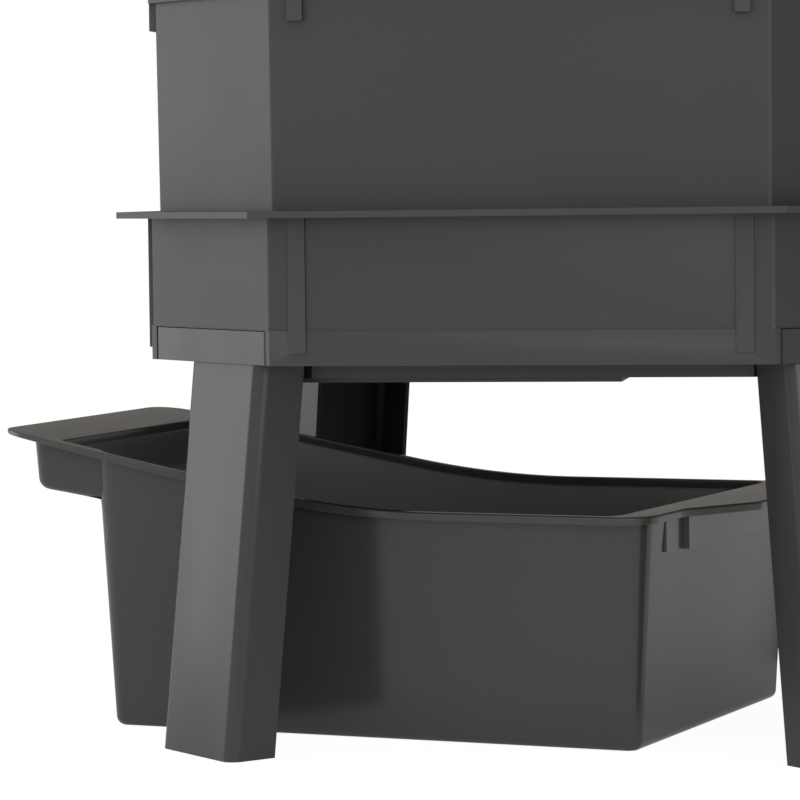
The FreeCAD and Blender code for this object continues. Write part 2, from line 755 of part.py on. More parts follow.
def build_collecting_tray():
    """A tapered trough whose rim climbs to a grip plate at one end and ends in a pouring lip at the other."""
    body = new_body("collecting_tray", x=tower_x + tank_x, y=tank_y, turn=turn.value)
    bind(body, ".Placement.Rotation.Angle", turn)
    tall = size("rim_high") + trim_room
    corner = size("tank_corner")
    tank_wall = size("tank_wall")
    thick = size("rim_thick")
    room = grip_end + trim_room
    side = rim_half
    low_end = tank_end + size("rim_low") * tank_tan
    rim_end = low_end + size("rim_reach")
    lip_end = tank_end + size("lip_reach")

    # Rim, grip plate and pouring lip, as one sheet in plan
    plan = draw_loop(new_sketch(body, "rim_plan", size("rim_low") - trim_room), [
        (-grip_end, -side), (rim_end, -side), (rim_end, -size("lip_root")), (lip_end, -size("lip_nose")),
        (lip_end, size("lip_nose")), (rim_end, size("lip_root")), (rim_end, side), (-grip_end, side)])
    block = pad(body, "rim_block", plan, tall - size("rim_low") + trim_room)

    def upright(edge):
        return abs(edge.tangentAt(edge.FirstParameter).z) > 0.99

    def beside(edge):
        return upright(edge) and abs(edge.CenterOfMass.y) > size("lip_root").value + 1e-3

    grips = fillet(body, "grip_corners", block,
                   lambda edge: beside(edge) and edge.CenterOfMass.x < 0, grip_corner)
    fillet(body, "rim_corners", grips,
           lambda edge: beside(edge) and edge.CenterOfMass.x > 0, size("rim_corner"))
    below, low_radius, high_radius = rim_line(thick)
    under = draw_loop(new_sketch(body, "rim_underside", plane="XZ_Plane"),
                      [(room, below[0][1])] + below + [(-room, below[3][1]), (-room, 0), (room, 0)],
                      {1: (low_radius, -1), 3: (high_radius, 1)})
    pocket(body, "rim_undercut", under, room * 2, both_ways=True)

    # Tapered trough, the hollow step below the grip plate, and the apron below the lip
    hull = draw_loop(new_sketch(body, "hull_outline"), *rounded_box(tank_end, tank_half, corner))
    trough = pad(body, "hull", hull, tall, taper=size("tank_draft"))
    fillet(body, "foot_round", trough, lambda edge: edge.BoundBox.ZMax < 0.01, size("tank_foot_radius"))
    bay_end = tank_end + size("bay_overhang")
    bay_half = tank_half + (size("rim_high") - size("bay_drop")) * tank_tan
    bay_side = draw_loop(new_sketch(body, "bay_profile", plane="XZ_Plane"), bay_corners(
        bay_end, size("bay_drop"), tank_end))
    bay = pad(body, "bay", bay_side, bay_half * 2, both_ways=True)
    fillet(body, "bay_corners", bay,
           lambda edge: upright(edge) and abs(edge.CenterOfMass.x + bay_end.value) < 1e-3, size("bay_corner"))
    apron_level = size("rim_low") - size("apron_drop")
    for name, half, proud in (("shelf", size("shelf_half"), size("shelf_proud")),
                              ("apron", size("apron_half"), size("apron_proud"))):
        outline = draw_loop(new_sketch(body, name + "_outline", apron_level), box_corners(
            tank_end - thick, low_end + proud, -half, half))
        pad(body, name, outline, size("apron_drop") - thick / 2)

    # Everything above the rim's curve goes, then the hollow
    above, low_radius, high_radius = rim_line(Size.of(0.0))
    ceiling = tall + trim_room
    outside = [(-room, above[3][1]), (-room, ceiling), (room, ceiling)]
    over = draw_loop(new_sketch(body, "rim_topside", plane="XZ_Plane"),
                     [(room, above[0][1])] + above + outside, {1: (low_radius, -1), 3: (high_radius, 1)})
    pocket(body, "rim_trim", over, room * 2, both_ways=True)
    mouth_growth = tall * tank_tan - tank_wall
    mouth = draw_loop(new_sketch(body, "mouth_outline", tall), *rounded_box(
        tank_end + mouth_growth, tank_half + mouth_growth, corner + mouth_growth))
    pocket(body, "mouth", mouth, tall - tank_wall, taper=-size("tank_draft"))
    bay_hollow = draw_loop(new_sketch(body, "bay_inside_profile", plane="XZ_Plane"), bay_corners(
        tank_end + size("bay_bridge"), size("bay_drop") - tank_wall, tank_end - size("bay_mouth")))
    pocket(body, "bay_inside", bay_hollow, (bay_half - tank_wall) * 2, both_ways=True)
    return body


def rounded_box(half_u, half_v, radius):
    """Corners and arcs of a rectangle with rounded corners, in one turning direction."""
    u = half_u - radius
    v = half_v - radius
    corners = [(-u, -half_v), (u, -half_v), (half_u, -v), (half_u, v),
               (u, half_v), (-u, half_v), (-half_u, v), (-half_u, -v)]
    return corners, {1: (radius, 1), 3: (radius, 1), 5: (radius, 1), 7: (radius, 1)}


def bay_corners(end, depth, inner_end):
    """The step below the grip plate in side view; its floor falls towards the trough."""
    start = size("tank_wall") - inner_end
    floor_high = size("rim_high") - depth
    floor_low = floor_high - (start + end) * tangent(size("rim_slope")) * size("bay_fall")
    top = size("rim_high") + trim_room
    return [(start, floor_low), (start, top), (-end, top), (-end, floor_high)]


bodies = [build_base_sump()]
for leg_label, leg_hand, leg_angle in (
        ("leg_front_left", -1, 135.0), ("leg_front_right", 1, 225.0),
        ("leg_rear_right", -1, 315.0), ("leg_rear_left", 1, 45.0)):
    bodies.append(build_leg(leg_label, leg_hand, leg_angle))
for tray_level, tray_label in enumerate(TRAY_LABELS):
    bodies.append(build_tray(tray_label, tray_level))
bodies.append(build_lid())
bodies.append(build_strainer())
bodies.append(build_ladder())
bodies.append(build_collecting_tray())

doc.recompute()
for item in doc.Objects:
    if "Invalid" in item.State or "Error" in item.State:
        raise RuntimeError("%s failed: %s" % (item.Name, item.State))
for cut in CUTS:
    if cut.Shape.Volume >= cut.BaseFeature.Shape.Volume - 1e-6:
        raise RuntimeError(cut.Name + " cuts nothing")
for body in bodies:
    if body.Shape.isNull() or not body.Shape.isValid():
        raise RuntimeError(body.Label + " has no valid shape")

os.makedirs("parts", exist_ok=True)
for body in bodies:
    body.Shape.exportStep("parts/%s.step" % body.Label)
    box = body.Shape.BoundBox
    print("%-18s solids %d  volume %9.0f  x %8.2f %8.2f  y %8.2f %8.2f  z %8.2f %8.2f" % (
        body.Label, len(body.Shape.Solids), body.Shape.Volume,
        box.XMin, box.XMax, box.YMin, box.YMax, box.ZMin, box.ZMax))
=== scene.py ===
import math
from collections import namedtuple

import bmesh
import bpy
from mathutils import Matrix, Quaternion, Vector


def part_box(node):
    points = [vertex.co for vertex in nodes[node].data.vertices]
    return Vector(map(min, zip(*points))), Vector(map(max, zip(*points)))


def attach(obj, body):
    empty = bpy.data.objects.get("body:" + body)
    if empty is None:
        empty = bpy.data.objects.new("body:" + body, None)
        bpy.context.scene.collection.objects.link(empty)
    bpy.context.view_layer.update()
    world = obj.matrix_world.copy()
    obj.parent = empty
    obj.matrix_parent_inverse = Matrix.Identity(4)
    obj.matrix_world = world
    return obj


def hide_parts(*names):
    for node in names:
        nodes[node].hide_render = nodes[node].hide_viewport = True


# Lengths are in metres except in the collecting tray's section. +Z is up, and the viewer stands towards -Y.
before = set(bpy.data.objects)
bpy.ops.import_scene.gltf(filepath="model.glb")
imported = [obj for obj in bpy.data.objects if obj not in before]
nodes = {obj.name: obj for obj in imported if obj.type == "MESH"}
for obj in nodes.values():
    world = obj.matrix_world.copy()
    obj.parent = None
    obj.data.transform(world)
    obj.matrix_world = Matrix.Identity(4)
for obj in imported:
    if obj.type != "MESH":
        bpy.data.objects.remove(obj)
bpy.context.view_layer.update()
scene = bpy.context.scene

sump_low, sump_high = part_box("base_sump")
AXIS_X = (sump_low[0] + sump_high[0]) / 2    # where the tower's axis stands


def add_object(name, data):
    made = bpy.data.objects.new(name, data)
    scene.collection.objects.link(made)
    return made


# Camera: the picture's side and the focal length in pixels, its turn in degrees, and its place from the axis
SIDE, FOCAL_PX = 800, 3500.0
YAW, PITCH, ROLL = 9.428, 3.426, 0.684
EYE_FROM_AXIS = Vector((0.208916, -1.784788, 0.267381))
SENSOR_MM = 36.0
NEAR, FAR = 0.05, 60.0


def make_camera():
    yaw, pitch, roll = (math.radians(angle) for angle in (YAW, PITCH, ROLL))
    forward = Vector((-math.sin(yaw) * math.cos(pitch), math.cos(yaw) * math.cos(pitch), -math.sin(pitch)))
    data = bpy.data.cameras.new("camera")
    data.sensor_width = SENSOR_MM
    data.lens = FOCAL_PX / SIDE * SENSOR_MM
    data.clip_start = NEAR
    data.clip_end = FAR
    camera = add_object("camera", data)
    camera.rotation_mode = "QUATERNION"
    level = forward.to_track_quat("-Z", "Y")
    camera.rotation_quaternion = level @ Quaternion(Vector((0.0, 0.0, 1.0)), -roll)
    camera.location = EYE_FROM_AXIS + Vector((AXIS_X, 0.0, 0.0))
    scene.camera = camera


make_camera()
scene.view_settings.view_transform = "Standard"


# Materials
class Graph:
    """A node tree, with short calls for making and joining nodes."""

    def __init__(self, tree):
        self.tree = tree
        self.tree.nodes.clear()

    def node(self, kind, **settings):
        """A new node; settings that start with in_ go to its sockets, and the rest to the node itself."""
        made = self.tree.nodes.new(kind)
        for key, value in settings.items():
            if key.startswith("in_"):
                made.inputs[key[3:].replace("_", " ")].default_value = value
            else:
                setattr(made, key, value)
        return made

    def link(self, source, target):
        self.tree.links.new(source, target)

    def ramp(self, source, low, high, low_value, high_value):
        """Values from low to high, turned into values from low_value to high_value and held there beyond."""
        mapped = self.node("ShaderNodeMapRange", in_From_Min=low, in_From_Max=high,
                           in_To_Min=low_value, in_To_Max=high_value)
        self.link(source, mapped.inputs["Value"])
        return mapped.outputs["Result"]

    def math(self, operation, first, second):
        made = self.node("ShaderNodeMath", operation=operation)
        for socket, value in zip(made.inputs, (first, second)):
            if isinstance(value, (int, float)):
                socket.default_value = value
            else:
                self.link(value, socket)
        return made.outputs["Value"]

    def dot(self, source, direction):
        made = self.node("ShaderNodeVectorMath", operation="DOT_PRODUCT")
        self.link(source, made.inputs[0])
        made.inputs[1].default_value = Vector(direction).normalized()
        return made.outputs["Value"]

    def noise(self, scale, detail, stretch=(1.0, 1.0, 1.0), roughness=0.5):
        """Noise in the object's own space."""
        place = self.node("ShaderNodeTexCoord")
        mapping = self.node("ShaderNodeMapping")
        mapping.inputs["Scale"].default_value = stretch
        self.link(place.outputs["Object"], mapping.inputs["Vector"])
        made = self.node("ShaderNodeTexNoise", in_Scale=scale, in_Detail=detail, in_Roughness=roughness)
        self.link(mapping.outputs["Vector"], made.inputs["Vector"])
        return made.outputs["Fac"]

    def blend(self, factor, first, second):
        """A colour between first and second; either may be a socket."""
        mix = self.node("ShaderNodeMix", data_type="RGBA")
        self.link(factor, mix.inputs[0])
        for socket, value in ((mix.inputs[6], first), (mix.inputs[7], second)):
            if isinstance(value, bpy.types.NodeSocket):
                self.link(value, socket)
            else:
                socket.default_value = list(value) + [1.0]
        return mix.outputs[2]

    def two_shaders(self, output, to_object, to_camera):
        """Sockets for two shaders on one surface, given the second's part to the object and to the camera."""
        mix = self.node("ShaderNodeMixShader")
        camera_ray = self.node("ShaderNodeLightPath").outputs["Is Camera Ray"]
        self.link(self.ramp(camera_ray, 0.0, 1.0, to_object, to_camera), mix.inputs["Fac"])
        self.link(mix.outputs["Shader"], output.inputs["Surface"])
        return mix.inputs[1], mix.inputs[2]


# Noise is used between these two values, at these scales per metre
NOISE_LOW, NOISE_HIGH = 0.3, 0.7
CLOUD_SCALE, SHEEN_SCALE, DIMPLE_SCALE, GRAIN_SCALE = 6.0, 14.0, 90.0, 1500.0
# How far the tone spreads, how far the roughness goes down and up, and the dimples' part in the bumps
TONE_SPREAD, SHEEN_DOWN, SHEEN_UP = 0.06, 0.02, 0.03
DIMPLE_SHARE, BUMP_STRENGTH = 0.6, 0.3
# Paler sharp edges, partly wear and partly a painted highlight: the pointiness over which they lighten, how
# far, and how much paler their colour is
WEAR_AND_HIGHLIGHT_FROM, WEAR_AND_HIGHLIGHT_TO, WEAR_AND_HIGHLIGHT_SHARE, WEAR_AND_HIGHLIGHT_GAIN = 0.52, 0.6, 0.5, 2.0
# Flow lines: how long they are drawn out along Z, and their part in the tone, the sheen and the height
FLOW_STRETCH = (1.0, 1.0, 0.012)
FLOW_TONE, FLOW_SHEEN, FLOW_HEIGHT = 0.6, 0.05, 4.0


def new_material(name):
    material = bpy.data.materials.new(name)
    material.use_nodes = True
    return material, Graph(material.node_tree)


def plastic(name, colour, rough, flow=0.0, grain=0.00003):
    """Moulded plastic: fine grain, a cloudy tone, paler edges that are partly wear and partly a painted
    highlight, and for flow above 0 lines along Z.
    """
    material, graph = new_material(name)
    shader = graph.node("ShaderNodeBsdfPrincipled")
    out = graph.node("ShaderNodeOutputMaterial")
    graph.link(shader.outputs["BSDF"], out.inputs["Surface"])
    tone = graph.noise(CLOUD_SCALE, 4.0)
    lines = None
    if flow:
        lines = graph.noise(flow, 2.0, stretch=FLOW_STRETCH)
        tone = graph.math("ADD", graph.math("MULTIPLY", tone, 1.0 - FLOW_TONE),
                          graph.math("MULTIPLY", lines, FLOW_TONE))
    base = graph.blend(graph.ramp(tone, NOISE_LOW, NOISE_HIGH, 0.0, 1.0),
                       [c * (1.0 - TONE_SPREAD) for c in colour], [c * (1.0 + TONE_SPREAD) for c in colour])
    pointiness = graph.node("ShaderNodeNewGeometry").outputs["Pointiness"]
    # Sharp edges go paler: partly wear, partly a painted highlight
    wear_and_highlight = graph.ramp(pointiness, WEAR_AND_HIGHLIGHT_FROM, WEAR_AND_HIGHLIGHT_TO, 0.0, WEAR_AND_HIGHLIGHT_SHARE)
    base = graph.blend(wear_and_highlight, base, [c * WEAR_AND_HIGHLIGHT_GAIN for c in colour])
    graph.link(base, shader.inputs["Base Color"])
    sheen = graph.ramp(graph.noise(SHEEN_SCALE, 4.0, roughness=0.6),
                       NOISE_LOW, NOISE_HIGH, rough - SHEEN_DOWN, rough + SHEEN_UP)
    height = graph.math("ADD", graph.noise(GRAIN_SCALE, 2.0),
                        graph.math("MULTIPLY", graph.noise(DIMPLE_SCALE, 2.0), DIMPLE_SHARE))
    if lines:
        streaks = graph.ramp(lines, NOISE_LOW, NOISE_HIGH, -FLOW_SHEEN, FLOW_SHEEN)
        sheen = graph.math("ADD", sheen, streaks)
        height = graph.math("ADD", height, graph.math("MULTIPLY", lines, FLOW_HEIGHT))
    graph.link(sheen, shader.inputs["Roughness"])
    bump = graph.node("ShaderNodeBump", in_Strength=BUMP_STRENGTH, in_Distance=grain)
    graph.link(height, bump.inputs["Height"])
    graph.link(bump.outputs["Normal"], shader.inputs["Normal"])
    return material


tub = plastic("tub_plastic", (0.040, 0.040, 0.040), 0.42)
leg = plastic("leg_plastic", (0.030, 0.031, 0.032), 0.23, flow=45.0)
# Near black: painted shade for the insides of the leg channels and the gaps beside the leg heads
painted_shade = plastic("leg_painted_shade", (0.004, 0.004, 0.004), 0.6)
tank = plastic("tank_plastic", (0.046, 0.046, 0.045), 0.17, grain=0.00001)
# The tray's inside: its plastic made much paler, painted light where the inside is lit
tank_inside_painted_light = plastic("tank_inside_painted_light", (0.12, 0.12, 0.118), 0.4, grain=0.00001)
insert = plastic("insert_plastic", (0.03, 0.03, 0.03), 0.45)


# Each family of nodes: its material and slot, the width of its soft edges and of its rounded upright ones,
# and the body that carries it, where that body hasn't the node's own name
Finish = namedtuple("Finish", "material slot edge upright body")
FINISHES = {
    "leg": Finish(leg, "leg_plastic", 0.0006, 0.0026, "stand"),
    "base": Finish(tub, "tub_plastic", 0.0005, 0.0014, "stand"),
    "tray": Finish(tub, "tub_plastic", 0.0005, 0.0014, None),
    "lid": Finish(tub, "tub_plastic", 0.0008, 0.0014, None),
}
INSERT_EDGES = {"drain_strainer": 0.0003, "worm_ladder": 0.0005}
# Points this close are joined, before and after the edges are softened; faces this near to flat are merged;
# and corners over this angle are softened, in so many segments
WELD, SLIVER = 0.00002, 0.00001
FLAT_ANGLE, SOFT_ANGLE, EDGE_SEGMENTS = math.radians(0.4), math.radians(28.0), 2


def soften(piece, width, flatten=False):
    """Joins doubled points and softens the sharp edges; flatten also clears the points inside flat faces."""
    piece.modifiers.new("weld", "WELD").merge_threshold = WELD
    if flatten:
        flat = piece.modifiers.new("flat", "DECIMATE")
        flat.decimate_type = "DISSOLVE"
        flat.angle_limit = FLAT_ANGLE
    bevel = piece.modifiers.new("edge", "BEVEL")
    bevel.width = width
    bevel.segments = EDGE_SEGMENTS
    bevel.limit_method = "ANGLE"
    bevel.angle_limit = SOFT_ANGLE
    bevel.miter_outer = "MITER_ARC"
    if flatten:
        piece.modifiers.new("joined", "WELD").merge_threshold = SLIVER
    normals = piece.modifiers.new("normals", "WEIGHTED_NORMAL")
    normals.weight = 60
    normals.keep_sharp = False


for name, width in INSERT_EDGES.items():
    nodes[name].data.materials.clear()
    nodes[name].data.materials.append(insert)
    soften(nodes[name], width)


# Side ribs stand on a tub's left and right faces, and front ribs on the base's other two: how far the face
# lies in from the rim's edge, how far the ribs stand proud of it and run down it, and where they stand on it
FACE_INSET = {"base": 0.0155, "tray": 0.0191}
SIDE_PROUD = {"base": 0.0024, "tray": 0.0038}
RIB_DROP = {"base": 0.063, "tray": 0.043}
SIDE_RIB_Y = (0.104, 0.1125)
FRONT_RIB_X = (0.0997, 0.1077)
FRONT_PROUD = 0.0009
# The rim's thickness, and how far a rib runs into the rim and into the wall
RIM_THICK, RIB_ROOT, RIB_SUNK = 0.0031, 0.0001, 0.002


def box_faces(low, high):
    """Points and faces of a box between two corners."""
    points = [(x, y, z) for z in (low[2], high[2]) for x, y in
              ((low[0], low[1]), (high[0], low[1]), (high[0], high[1]), (low[0], high[1]))]
    faces = ((3, 2, 1, 0), (4, 5, 6, 7), (0, 1, 5, 4), (1, 2, 6, 5), (2, 3, 7, 6), (3, 0, 4, 7))
    return points, faces


def rib(xs, ys, top, drop):
    """A rib between two xs and two ys, from just inside the rim down to drop below it."""
    xs, ys = sorted(xs), sorted(ys)
    return box_faces((xs[0], ys[0], top - RIM_THICK - drop), (xs[1], ys[1], top - RIM_THICK + RIB_ROOT))


def ribs(name, family):
    """A tub's side ribs, and the base's front ribs too, near the ends of their faces."""
    low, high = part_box(name)
    corners = [(side, end) for side in (-1, 1) for end in (-1, 1)]
    face = (high[0] - low[0]) / 2 - FACE_INSET[family]
    depth = (face - RIB_SUNK, face + SIDE_PROUD[family])
    made = [rib([AXIS_X + side * x for x in depth], [end * y for y in SIDE_RIB_Y],
                high[2], RIB_DROP[family]) for side, end in corners]
    if family == "base":
        face = high[1] - FACE_INSET[family]
        depth = (face - RIB_SUNK, face + FRONT_PROUD)
        made += [rib([AXIS_X + side * x for x in FRONT_RIB_X], [end * y for y in depth],
                     high[2], RIB_DROP[family]) for side, end in corners]
    return made


# Upright edges that are rounded: their least length, how near they are to upright, and their corner's angle
UPRIGHT_LENGTH, UPRIGHT_RISE = 0.03, 0.9
LEAST_TURN, MOST_TURN = math.radians(40.0), math.radians(50.0)
UPRIGHT_SEGMENTS = 3
# A leg's inner faces, darkened with painted shade: how squarely they look back at the axis, and the height
# that they stay below
INWARD, PAINTED_SHADE_TOP = -0.9, 0.186


def upright_corners(shape):
    """A shape's outward corners of about 45 degrees that run up it."""
    corners = []
    for edge in shape.edges:
        if len(edge.link_faces) != 2 or edge.calc_length() < UPRIGHT_LENGTH:
            continue
        rise = abs((edge.verts[1].co - edge.verts[0].co).normalized().z)
        if rise > UPRIGHT_RISE and LEAST_TURN < edge.calc_face_angle_signed(0.0) < MOST_TURN:
            corners.append(edge)
    return corners


def paint_channel_shade(name, mesh):
    """Gives the inside of a leg's channel a near-black material, painted shade."""
    mesh.materials.append(painted_shade)
    low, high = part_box(name)
    outward = Vector((low[0] + high[0] - 2 * AXIS_X, low[1] + high[1], 0.0)).normalized()
    for polygon in mesh.polygons:
        if polygon.normal.dot(outward) < INWARD and polygon.center.z < PAINTED_SHADE_TOP:
            polygon.material_index = 1


def moulded(name, family):
    """A node's own shape with rounded upright edges and fuller ribs, in its place."""
    finish = FINISHES[family]
    shape = bmesh.new()
    shape.from_mesh(nodes[name].data)
    bmesh.ops.remove_doubles(shape, verts=shape.verts, dist=WELD)
    if family == "leg":
        bmesh.ops.dissolve_limit(shape, angle_limit=FLAT_ANGLE, verts=shape.verts, edges=shape.edges)
    bmesh.ops.bevel(shape, geom=upright_corners(shape), offset=finish.upright, offset_type="OFFSET",
                    segments=UPRIGHT_SEGMENTS, profile=0.5, affect="EDGES", clamp_overlap=True)
    for points, faces in (ribs(name, family) if family in RIB_DROP else []):
        made = [shape.verts.new(point) for point in points]
        for face in faces:
            shape.faces.new([made[i] for i in face])
    mesh = bpy.data.meshes.new(name + "_moulded")
    shape.to_mesh(mesh)
    shape.free()
    mesh.materials.append(finish.material)
    if family == "leg":
        paint_channel_shade(name, mesh)
    piece = add_object(name + "_moulded", mesh)
    soften(piece, finish.edge, flatten=family == "leg")
    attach(piece, finish.body or name)
    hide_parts(name)


for name in list(nodes):
    family = name.split("_")[0]
    if family in FINISHES:
        moulded(name, family)


def add_shell(points, faces, shell_points, shell_faces):
    """Adds a closed shell to the points and faces of a mesh."""
    first = len(points)
    points += shell_points
    faces += [tuple(first + i for i in face) for face in shell_faces]


# Head seams, near-black strips of painted shade where the leg heads end: the end of the base's front face,
# from the axis; the seam's two sides, from there along the chamfer; its back and front, from the chamfer's
# face; its foot, down from a leg's top; and its height
CORNER_X = 0.117195
SEAM_ALONG = (0.0033, 0.0043)
SEAM_PROUD = (-0.001, 0.00015)
SEAM_DROP, SEAM_HEIGHT = 0.0355, 0.0163


def make_head_seam_shade():
    """Near-black strips of painted shade in the gaps where the leg heads end, beside the front and rear faces
    of the base.
    """
    front = sump_high[1] - FACE_INSET["base"]
    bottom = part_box("leg_front_left")[1][2] - SEAM_DROP
    seam, sides = box_faces((SEAM_ALONG[0], SEAM_PROUD[0], bottom),
                            (SEAM_ALONG[1], SEAM_PROUD[1], bottom + SEAM_HEIGHT))
    points, faces = [], []
    for side, end in ((-1, -1), (-1, 1), (1, -1), (1, 1)):
        start = Vector((AXIS_X + side * CORNER_X, end * front, 0.0))
        along = Vector((side, -end, 0.0)).normalized()
        out = Vector((side, end, 0.0)).normalized()
        placed = [start + along * a + out * o + Vector((0.0, 0.0, z)) for a, o, z in seam]
        # Where side and end differ the box is mirrored, so its faces are turned round
        add_shell(points, faces, placed, sides if side == end else [face[::-1] for face in sides])
    mesh = bpy.data.meshes.new("head_seam_shade")
    mesh.from_pydata(points, [], faces)
    # The strips carry painted shade, for the shade that falls in these gaps
    mesh.materials.append(painted_shade)
    seams = add_object("head_seam_shade", mesh)
    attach(seams, "stand")


make_head_seam_shade()


# Collecting tray: one moulded skin, in millimetres in its own frame. u runs along it to the lip, v across it.
# The frame's place from the tower's axis, and its turn in degrees
TANK_PLACE = (-62.5, -16.305)
TANK_TURN = -13.15
# The trough's outside lies rho from the edges of a core rectangle, and rho grows with height by the draft
CORE_U, CORE_V, FOOT_RHO = 133.9, 91.8, 7.0
DRAFT = math.tan(math.radians(3.2))
FOOT_ROUND, INNER_ROUND, SKIN = 4.5, 3.5, 2.5
# Heights of the wall's rings outside and inside, and the heights whose rho gives the valley under the bay
MID_LEVEL, WALL_FROM, WALL_STEP, INNER_WALL = 60.0, 94.0, 2.0, 90.0
VALLEY_OUT, VALLEY_IN = 114.0, 115.0
# The rim's top: low at the lip, then a bend, a straight climb and an easing onto the grip
RIM_LOW, RIM_HIGH, RIM_SLOPE = 112.8, 150.0, math.tan(math.radians(11.2))
BEND_U, LOW_REACH, HIGH_REACH = -10.0, 45.0, 15.0
# The flange in plan: its sides, its end and the lip's, the lip's half widths, and the grip's end and corners
SIDE_V, RIM_END, LIP_END, LIP_NOSE, LIP_ROOT = 110.2, 150.2, 170.6, 12.0, 57.0
GRIP_END, GRIP_ROUND = 199.8, 20.0
# The flange in section: its thickness, the depth of the band along its edge, where its flat top starts, and
# its profile from the underside up to there, as moves in and up. Towards the grip it thins by a share.
FLANGE, BAND, TOP_FROM = 3.3, 4.2, 1.6
RIM_PROFILE = ((3.2, -FLANGE), (1.4, -BAND), (0.4, 0.2 - BAND), (0.0, 0.8 - BAND),
               (0.0, -0.9), (0.2, -0.4), (0.6, -0.1), (TOP_FROM, 0.0))
THIN_FROM, THIN_OVER, THIN_SHARE = 120.0, 60.0, 0.4
# The bay, a hollow step under the grip: the angle at which it leaves the end's corner; its end, its corners'
# radius, how far it lies in from the trough's side, its foot's radius, and its floor's height at its end; its
# floor's fall as a part of the rim's slope, how far its end wall leans, and the least radius of its corners
VALLEY_TURN = 140.5
BAY_END, BAY_ROUND, BAY_INSET, BAY_FOOT, BAY_LEVEL = 183.5, 8.0, 5.0, 5.0, 119.5
BAY_FALL, BAY_LEAN, TIGHTEST = 0.7, 1.0, 0.5
# The mouth: its end in the grip, its corners, how far out of the inner wall the top meets it, and its profile
# downwards, as moves out and up. Then the bay's inner foot, as moves in and up, and the ledge under the lip.
OPENING_END, OPENING_ROUND, MOUTH_OUT = 166.0, 4.0, 1.2
MOUTH_PROFILE = ((1.8, 0.0), (1.1, -0.25), (0.8, -0.9), (1.1, -4.4), (0.9, -4.8), (0.0, -5.0))
INNER_FOOT = ((0.0, 2.5), (0.7, 0.7), (2.5, 0.0))
INNER_FOOT_LEVEL = 92.0
LEDGE_FROM, LEDGE_SHARE = 118.0, 0.56
# Two aprons under the lip: the half width, end and foot of each, where both start inside the wall, and how
# far their tops run into the flange
APRONS = ((76.0, 147.5, 93.5), (53.5, 150.3, 93.0))
APRON_ROOT, APRON_SUNK = 142.0, 0.5
# How far the moulding is from square: the lip's end leans, and the far side draws in towards the grip
END_SKEW, SKEW_FROM, SKEW_OVER, SKEW_ABOUT = 0.06, 20.0, 100.0, -30.0
GRIP_SKEW, GRIP_DRAW, DRAW_FROM, DRAW_OVER, DRAW_POWER = 5.0, 22.0, 40.0, 240.0, 1.2
# Stations: places across the lip, and the number of steps round or along each other part
LIP_STATIONS = (0.0, -6.0, -12.0, -24.0, -36.0, -48.0, -57.0, -66.0, -77.0, -CORE_V)
CORNER_STEPS, SIDE_STEPS, TURN_STEPS, BAY_STEPS, END_STEPS = 10, 48, 5, 14, 6
# Steps up the trough's rounded foot and the bay's, and where the rim's top has rings between edge and mouth
FOOT_STEPS, BAY_FOOT_STEPS = 5, 4
TOP_PARTS = (0.2, 0.4, 0.6, 0.8)
# The corners over this angle stay sharp, and the inner rings above this one keep the outside's material; the
# inside below them gets a paler copy of it, painted light
TANK_SHARP, PAINTED_LIGHT_FROM = math.radians(38.0), 3


def share(value, start, length):
    """How far value is along a stretch, from 0 at its start to 1 at its end."""
    return min(max((value - start) / length, 0.0), 1.0)


def quarter(steps):
    """Angles from 0 to a right angle."""
    return [math.radians(90.0 * k / steps) for k in range(steps + 1)]


def rim_z(u):
    """Height of the rim's top along the tray: level, an arc, a straight climb, and the grip's arc."""
    half_turn = math.tan(math.atan(RIM_SLOPE) / 2)
    cosine = math.cos(math.atan(RIM_SLOPE))
    crest = BEND_U - (RIM_HIGH - RIM_LOW) / RIM_SLOPE
    if u >= BEND_U + LOW_REACH:
        return RIM_LOW
    if u >= BEND_U - LOW_REACH * cosine:
        radius = LOW_REACH / half_turn
        return RIM_LOW + radius - math.sqrt(radius ** 2 - (BEND_U + LOW_REACH - u) ** 2)
    if u >= crest + HIGH_REACH * cosine:
        return RIM_LOW + (BEND_U - u) * RIM_SLOPE
    radius = HIGH_REACH / half_turn
    return RIM_HIGH - radius + math.sqrt(max(radius ** 2 - (u - crest + HIGH_REACH) ** 2, 0.0))


def bay_floor(u):
    """Height of the underside of the bay's floor, which falls a little towards the trough."""
    return BAY_LEVEL - (u + BAY_END) * RIM_SLOPE * BAY_FALL


def rho(z):
    """How far the trough's outside lies from the core at a height."""
    return FOOT_RHO + z * DRAFT


def bay_path(t, radius, inset, end, round_end):
    """Plan of the bay: t from 0 in the valley beside the trough to 1 where its end face starts."""
    side = CORE_V + radius - BAY_INSET - inset
    start = CORE_U + math.sqrt(radius ** 2 - (radius - BAY_INSET - inset) ** 2)
    turn = max(round_end - inset, TIGHTEST)
    if t <= 0.5:
        return -(start + (end - inset - turn - start) * t * 2), -side
    angle = (t - 0.5) * math.pi
    return -(end - inset - turn + turn * math.sin(angle)), -(side - turn + turn * math.cos(angle))


